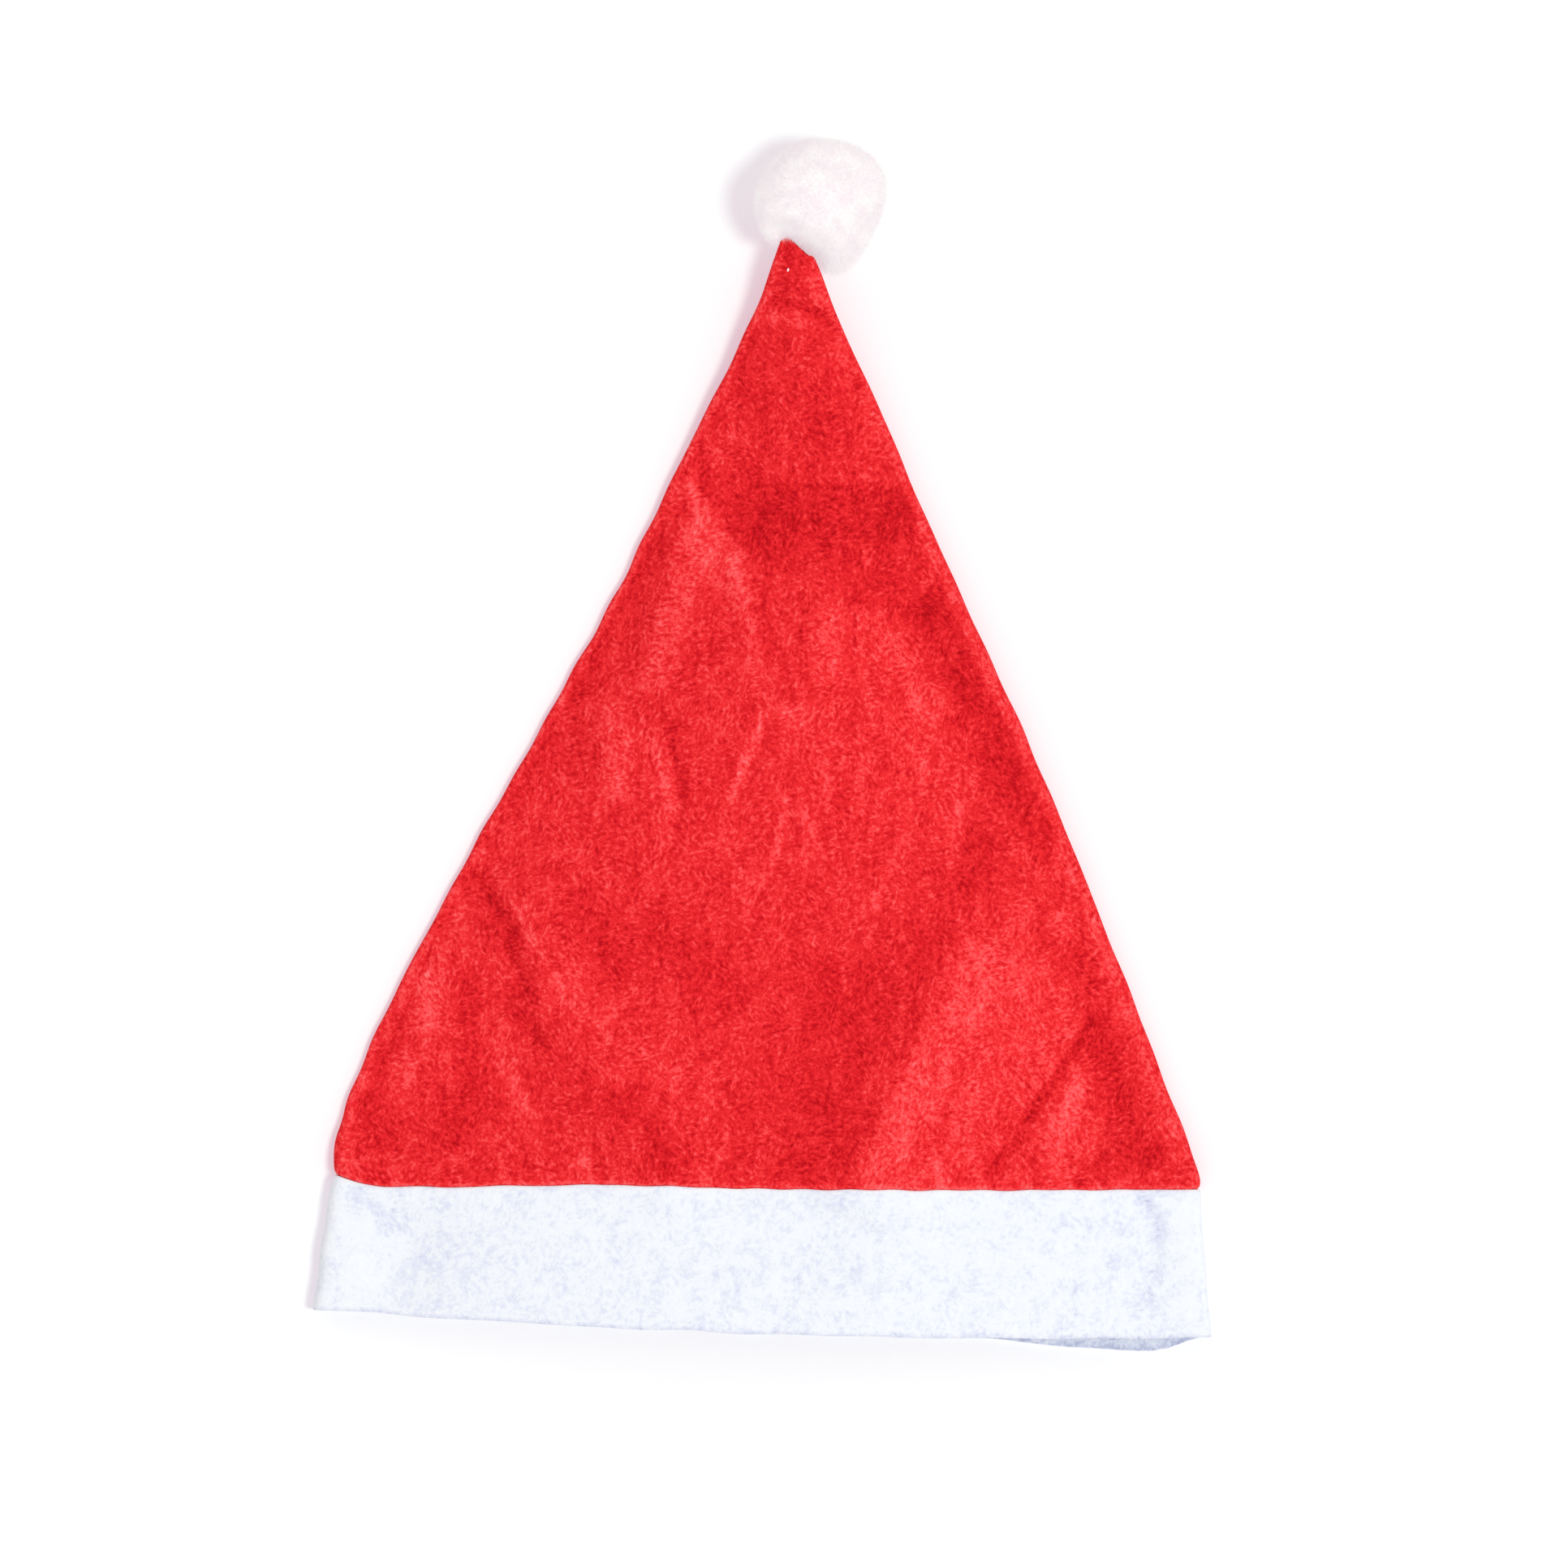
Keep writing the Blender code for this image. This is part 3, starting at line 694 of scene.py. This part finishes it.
colour = red_felt.node(
    "ValToRGB",
    {
        "stops": (
            (0.0, RED_DEEPEST),
            (0.25, RED_DEEP),
            (0.5, RED),
            (0.75, RED_PALE),
            (1.0, RED_PALEST),
        )
    },
    Fac=level * 0.5 + 0.25,
)
red_felt.feed("Base Color", colour)
relief = red_felt.node("Bump", Height=fibres + fine * 0.3, Strength=0.5, Distance=0.0008)
red_felt.feed("Normal", relief)
red_felt.shader.inputs["Specular IOR Level"].default_value = 0.03

tucked = FELT + CLEARANCE
crown_rows = [(-HEM, tucked + 0.0004), (-HEM + 0.0005, tucked), (-0.0005, tucked)]
crown_rows += [(0.0, 0.0010), (0.0004, 0.0007), (0.0009, 0.0004)]
crown_rows += [(0.0016, 0.0002), (0.0026, 0.00005)]
steps = round((CROWN_LENGTH - SEAM_ROLL) / CROWN_STEP)
crown_rows += [
    (SEAM_ROLL + (CROWN_LENGTH - SEAM_ROLL) * i / steps, 0.0) for i in range(steps + 1)
]
crown_rows += [
    (CROWN_LENGTH + 0.0005, 0.0004),
    (CROWN_LENGTH + 0.0008, 0.0010),
    (CROWN_LENGTH + 0.0009, 0.0018),
]
HOLLOW_SHORT_OF_TIP = 0.024
lining_count = round((CROWN_LENGTH - HOLLOW_SHORT_OF_TIP) / LINING_STEP)
lining_rows = [(-HEM, tucked + FELT - 0.0004), (-HEM + 0.0005, tucked + FELT)]
lining_rows += [(LINING_STEP * i, FELT + tucked * (1 if i == 0 else 0)) for i in range(lining_count)]
crown_felt = felt_skin("crown_felt", crown_rows[::-1] + lining_rows, red_felt, ring=False)
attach(crown_felt, "root")
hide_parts("crown")


# The band. A strip of white felt, sewn round the crown's lower edge with its seam turned inside. Its
# rim is cut, not hemmed.
WHITE_DEEPEST = (0.42, 0.46, 0.62)
WHITE_DEEP = (0.67, 0.71, 0.83)
WHITE = (0.80, 0.835, 0.875)
WHITE_PALE = (0.84, 0.875, 0.89)
BAND_STEP = 0.0016

white_felt = Finish("white_felt", 0.95)
place = white_felt.node("TexCoord", output=3)
fibres = fibre_pattern(white_felt, place, 0.0021, 0.0015, 0.009)
fine = white_felt.node("TexNoise", Vector=place, Scale=1800.0, Detail=2.0, Roughness=0.6)
cloudy = white_felt.node("TexNoise", Vector=place, Scale=160.0, Detail=3.0, Roughness=0.6)
nap = white_felt.node("Attribute", {"attribute_name": "nap"}, output=2)
level = (fibres - 0.56) * 1.5 + (fine - 0.5) * 0.2 + (cloudy - 0.5) * 1.3 + nap + 0.55
colour = white_felt.node(
    "ValToRGB",
    {"stops": ((0.0, WHITE_DEEPEST), (0.33, WHITE_DEEP), (0.66, WHITE), (1.0, WHITE_PALE))},
    Fac=level * 0.66 + 0.33,
)
white_felt.feed("Base Color", colour)
relief = white_felt.node("Bump", Height=fibres + fine * 0.3, Strength=0.4, Distance=0.0006)
white_felt.feed("Normal", relief)
white_felt.shader.inputs["Specular IOR Level"].default_value = 0.1

band_rows = [(-0.0002, 0.0009), (-0.0003, 0.0006), (-0.0006, 0.00035)]
band_rows += [(-0.0012, 0.00014), (-0.0021, 0.00003)]
steps = round((BAND_HEIGHT - 0.003) / BAND_STEP)
band_rows += [(-0.003 - (BAND_HEIGHT - 0.0033) * i / steps, 0.0) for i in range(steps + 1)]
band_rows += [(-BAND_HEIGHT, 0.0003), (-BAND_HEIGHT, 0.0012), (-BAND_HEIGHT + 0.0003, FELT)]
facing_rows = [(y, FELT) for y in np.linspace(-BAND_HEIGHT + 0.002, -0.0004, 16)]
band_felt = felt_skin("band_felt", band_rows + facing_rows + band_rows[:1], white_felt, ring=True)
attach(band_felt, "root")
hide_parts("band")


# The pompom. A ball of white acrylic fur round a knot of thread, trimmed round, with the tip of the
# crown sewn into its lower left side.
POMPOM_DIAMETER = 0.043
POMPOM_CORE = 0.0400
FUR_COLOUR = (0.40, 0.39, 0.38)
FUR_SHADE = (0.37, 0.31, 0.335)
# The fur glows: painted light that keeps its shaded sides and underside nearly as bright as its top.
FUR_GLOW = 0.63
GLOW_COLOUR = (1.0, 0.955, 0.955)
GLOW_SHADE = (0.97, 0.91, 0.935)
# A dimmer, pinker glow near the tip: painted shade where the fur parts round it.
GLOW_SHADED_BY_TIP = (0.80, 0.63, 0.68)
TIP_SHADE_REACH = 0.013
FUR_LONGER = 0.9
FUR_OVER_TIP = 0.0015
FUR_LIFT = 1.1
FUR_LENGTH = 0.0030
FUR_STRAY = 0.55
LOW_SIDE = (0.003, -0.019, 0.004)
PARTING_SLOPE = 0.3
FUR_COUNT = 19000
FUR_PIECES = 2
FUR_WIDTH = 0.00012
FUR_CURL = 0.12
FUR_ROOT_DEPTH = 0.0006
FUR_SHORTER = 0.22
FUR_SHORTEST_LOSS = 0.7
LOW_SIDE_REACH = 0.007
CARVE_MARGIN = 0.0016
CARVE_OVERHANG = -0.0020
CARVE_STEP = 0.0004
FLOOR = 0.0003

fur_white = Finish("fur_white", 0.9)
place = fur_white.node("TexCoord", output=3)
cloudy = fur_white.node("TexNoise", Vector=place, Scale=160.0, Detail=2.0)
colour = fur_white.node("ValToRGB", {"stops": ((0.3, FUR_SHADE), (0.7, FUR_COLOUR))}, Fac=cloudy)
fur_white.feed("Base Color", colour)
tip_end = (
    MIDDLE_X + SEAM_WIDTH / 2 * (SECTIONS[-1][1] + SECTIONS[-1][2]) / 2,
    SEAM_Y + CROWN_LENGTH,
    TIP_LIFT + FELT,
)
away = fur_white.node("Mapping", Vector=place, Location=[-part for part in tip_end])
from_tip = fur_white.node("VectorMath", {"operation": "LENGTH"}, output=1, Vector=away)
# The glow is painted light; near the tip it is dimmer and pinker, painted shade.
glow = fur_white.node("ValToRGB", {"stops": ((0.35, GLOW_SHADE), (0.65, GLOW_COLOUR))}, Fac=cloudy)
near_tip = fur_white.node("MapRange", Value=from_tip, From_Min=0.002, From_Max=TIP_SHADE_REACH)
fur_white.feed("Emission Color", fur_white.mix(near_tip, GLOW_SHADED_BY_TIP, glow))
fur_white.shader.inputs["Emission Strength"].default_value = FUR_GLOW
fur_white.shader.inputs["Specular IOR Level"].default_value = 0.1

ball_low, ball_high = (np.array(corner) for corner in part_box("pompom"))
ball_middle = (ball_low + ball_high) / 2


def over_tip(points, margin, overhang):
    """Whether points lie in the tip of the crown or above it, where the fur parts."""
    y = points[..., 1] - SEAM_Y
    x = points[..., 0] - MIDDLE_X
    row = np.minimum(y, CROWN_LENGTH)
    half = SEAM_WIDTH / 2
    knots = [line[0] * CROWN_LENGTH for line in SECTIONS[1:]]
    left = half * np.interp(row, knots, [line[1] for line in SECTIONS[1:]]) - margin
    right = half * np.interp(row, knots, [line[2] for line in SECTIONS[1:]]) + margin
    lift = TIP_LIFT * np.interp(row, knots, [line[6] for line in SECTIONS[1:]]) - margin
    across = np.clip(2 * (x - left) / (right - left) - 1, -1.4, 1.4)
    end = CROWN_LENGTH - TIP_SLANT / 2 * across - overhang
    widening = PARTING_SLOPE * np.maximum(points[..., 2] - TIP_LIFT - 2 * FELT, 0)
    beside = (x > left - widening) & (x < right + widening)
    return beside & (y < end + widening) & (points[..., 2] > lift)


def spikes(name, roots, ways, lengths, widths, curls, finish):
    """Tapered three-sided hairs, each bent once, joined in one mesh."""
    count = len(roots)
    helper = np.where(np.abs(ways[:, 2:]) < 0.9, (0.0, 0.0, 1.0), (1.0, 0.0, 0.0))
    side = np.cross(ways, helper)
    side /= np.linalg.norm(side, axis=1, keepdims=True)
    other = np.cross(ways, side)
    verts = np.empty((count, 7, 3))
    bend = curls * lengths[:, None]
    for k in range(3):
        angle = 2 * math.pi * k / 3
        ring = (side * math.cos(angle) + other * math.sin(angle)) * widths[:, None] / 2
        verts[:, k] = roots + ring
        verts[:, 3 + k] = roots + ways * lengths[:, None] * 0.55 + bend * 0.3 + ring * 0.85
    verts[:, 6] = roots + ways * lengths[:, None] + bend
    verts[..., 2] = np.maximum(verts[..., 2], 0.0001)
    pattern = [(2, 1, 0)]
    for k in range(3):
        after = (k + 1) % 3
        pattern += [(k, after, 3 + after), (k, 3 + after, 3 + k), (3 + k, 3 + after, 6)]
    faces = np.array(pattern)[None] + (np.arange(count) * 7)[:, None, None]
    mesh = bpy.data.meshes.new(name)
    mesh.from_pydata(verts.reshape(-1, 3).tolist(), [], faces.reshape(-1, 3).tolist())
    mesh.materials.append(finish.material)
    mesh.shade_smooth()
    outwards = verts - ball_middle
    outwards /= np.linalg.norm(outwards, axis=2, keepdims=True)
    axis = (verts[:, 6] - verts[:, :3].mean(axis=1))[:, None]
    own = verts - verts[:, :3].mean(axis=1)[:, None]
    own = own - axis * (np.sum(own * axis, axis=2) / np.sum(axis * axis, axis=2))[..., None]
    own /= np.linalg.norm(own, axis=2, keepdims=True) + 1e-9
    shaded = outwards + own + np.array((0, 0, FUR_LIFT))
    mesh.normals_split_custom_set_from_vertices(shaded.reshape(-1, 3).tolist())
    made = bpy.data.objects.new(name, mesh)
    bpy.context.scene.collection.objects.link(made)
    return made


def ball_directions(count, dice):
    way = dice.normal(size=(count, 3))
    return way / np.linalg.norm(way, axis=1, keepdims=True)


lump_dice = np.random.default_rng(21)
clumps = ball_directions(700, lump_dice)
lumps = ball_directions(26, lump_dice)
lump_sizes = lump_dice.uniform(-0.0030, 0.0010, 26)
TUFTS = (
    ((0.30, -0.94, -0.15), 0.0034),
    ((-0.98, 0.10, -0.10), 0.0016),
    ((0.88, 0.46, 0.05), 0.0016),
)
lumps = np.vstack([lumps] + [np.array(way) / np.linalg.norm(way) for way, size in TUFTS])
lump_sizes = np.append(lump_sizes, [size for way, size in TUFTS])


def ball_reach(way):
    """How far the fur stands out from the middle of the ball in some directions."""
    near = np.exp((way @ lumps.T - 1) * 14)
    tufts = np.sort(way @ clumps.T, axis=1)[:, -2:]
    between = np.clip((tufts[:, 1] - tufts[:, 0]) / 0.008, 0, 1)
    return POMPOM_DIAMETER / 2 + near @ lump_sizes - 0.0003 * (1 - between)


core_shape = bmesh.new()
bmesh.ops.create_icosphere(core_shape, subdivisions=6, radius=POMPOM_CORE / 2)
for vert in core_shape.verts:
    out = vert.co.normalized()
    reach = ball_reach(np.array(out)[None])[0] - (POMPOM_DIAMETER - POMPOM_CORE) / 2
    while reach > POMPOM_CORE / 4 and over_tip(
        ball_middle + np.array(out) * reach, CARVE_MARGIN, CARVE_OVERHANG
    ):
        reach -= CARVE_STEP
    vert.co = Vector(ball_middle) + out * reach
for _ in range(6):
    bmesh.ops.smooth_vert(
        core_shape, verts=core_shape.verts, factor=0.5, use_axis_x=True, use_axis_y=True, use_axis_z=True
    )
for vert in core_shape.verts:
    vert.co.z = max(vert.co.z, FLOOR)
core_mesh = bpy.data.meshes.new("pompom_heart")
core_shape.to_mesh(core_mesh)
core_shape.free()
core_mesh.materials.append(fur_white.material)
core_mesh.shade_smooth()
lifted = [Vector(vertex.normal) + Vector((0, 0, FUR_LIFT)) for vertex in core_mesh.vertices]
core_mesh.normals_split_custom_set_from_vertices([way.normalized() for way in lifted])
pompom_heart = bpy.data.objects.new("pompom_heart", core_mesh)
bpy.context.scene.collection.objects.link(pompom_heart)
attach(pompom_heart, "root")
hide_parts("pompom")

corners = np.array(
    [[core_mesh.vertices[i].co for i in face.vertices] for face in core_mesh.polygons]
)
face_ways = np.array([face.normal for face in core_mesh.polygons])
face_sizes = np.array([face.area for face in core_mesh.polygons])
for piece in range(FUR_PIECES):
    dice = np.random.default_rng(30 + piece)
    chosen = dice.choice(len(corners), FUR_COUNT, p=face_sizes / face_sizes.sum())
    shares = dice.dirichlet((1, 1, 1), FUR_COUNT)
    roots = np.einsum("ij,ijk->ik", shares, corners[chosen])
    out = roots - ball_middle
    out /= np.linalg.norm(out, axis=1, keepdims=True)
    nearest = np.argmax(out @ clumps.T, axis=1)
    gather = clumps[nearest] - out
    ways = face_ways[chosen] * 0.7 + out * 0.5 + gather * 1.5 + dice.normal(size=out.shape) * FUR_STRAY
    ways /= np.linalg.norm(ways, axis=1, keepdims=True)
    lengths = FUR_LENGTH * (1 - dice.exponential(FUR_SHORTER, FUR_COUNT).clip(0, FUR_SHORTEST_LOSS))
    low_side = np.linalg.norm(roots - ball_middle - LOW_SIDE, axis=1)
    lengths = lengths * (1 + FUR_LONGER * np.exp(-((low_side / LOW_SIDE_REACH) ** 2)))
    roots = roots - ways * FUR_ROOT_DEPTH
    free = np.ones(FUR_COUNT)
    for share in np.linspace(1.0, 0.2, 9):
        blocked = over_tip(roots + ways * (lengths * share)[:, None], 0.0, FUR_OVER_TIP)
        free = np.where(blocked, share - 0.1, free)
    lengths = lengths * free
    ends = roots + ways * lengths[:, None]
    keep = (ends[:, 2] > FLOOR) & (free > 0.25)
    roots, ways, lengths = roots[keep], ways[keep], lengths[keep]
    curls = dice.normal(size=ways.shape) * FUR_CURL
    widths = FUR_WIDTH * dice.uniform(0.7, 1.3, len(roots))
    fur = spikes(f"pompom_fur_{piece + 1}", roots, ways, lengths, widths, curls, fur_white)
    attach(fur, "root")
    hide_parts("pompom")


# The stitch. The pompom is held on by a few stitches of white thread through the tip, and one of them
# shows on the tip's upper side, lying on the felt.
STITCH_PIXEL = (971, 335)
STITCH_SIZE = (0.0006, 0.0011, 0.0005)
STITCH_TURN = math.radians(-12)

stitch_x = MIDDLE_X + (STITCH_PIXEL[0] - MIDDLE_COLUMN) * PIXEL
stitch_y = SEAM_Y + (SEAM_ROW - STITCH_PIXEL[1]) * PIXEL
felt_places = np.array([vertex.co for vertex in crown_felt.data.vertices])
nearby = np.hypot(felt_places[:, 0] - stitch_x, felt_places[:, 1] - stitch_y) < STITCH_SIZE[1]
stitch_z = felt_places[nearby, 2].max()
stitch_shape = bmesh.new()
bmesh.ops.create_icosphere(stitch_shape, subdivisions=3, radius=0.5)
bmesh.ops.scale(stitch_shape, verts=stitch_shape.verts, vec=STITCH_SIZE)
bmesh.ops.rotate(
    stitch_shape,
    verts=stitch_shape.verts,
    cent=(0, 0, 0),
    matrix=Matrix.Rotation(STITCH_TURN, 3, "Z"),
)
bmesh.ops.translate(stitch_shape, verts=stitch_shape.verts, vec=(stitch_x, stitch_y, stitch_z))
stitch_mesh = bpy.data.meshes.new("pompom_stitch")
stitch_shape.to_mesh(stitch_mesh)
stitch_shape.free()
stitch_mesh.materials.append(fur_white.material)
stitch_mesh.shade_smooth()
pompom_stitch = bpy.data.objects.new("pompom_stitch", stitch_mesh)
bpy.context.scene.collection.objects.link(pompom_stitch)
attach(pompom_stitch, "root")
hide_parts("pompom")
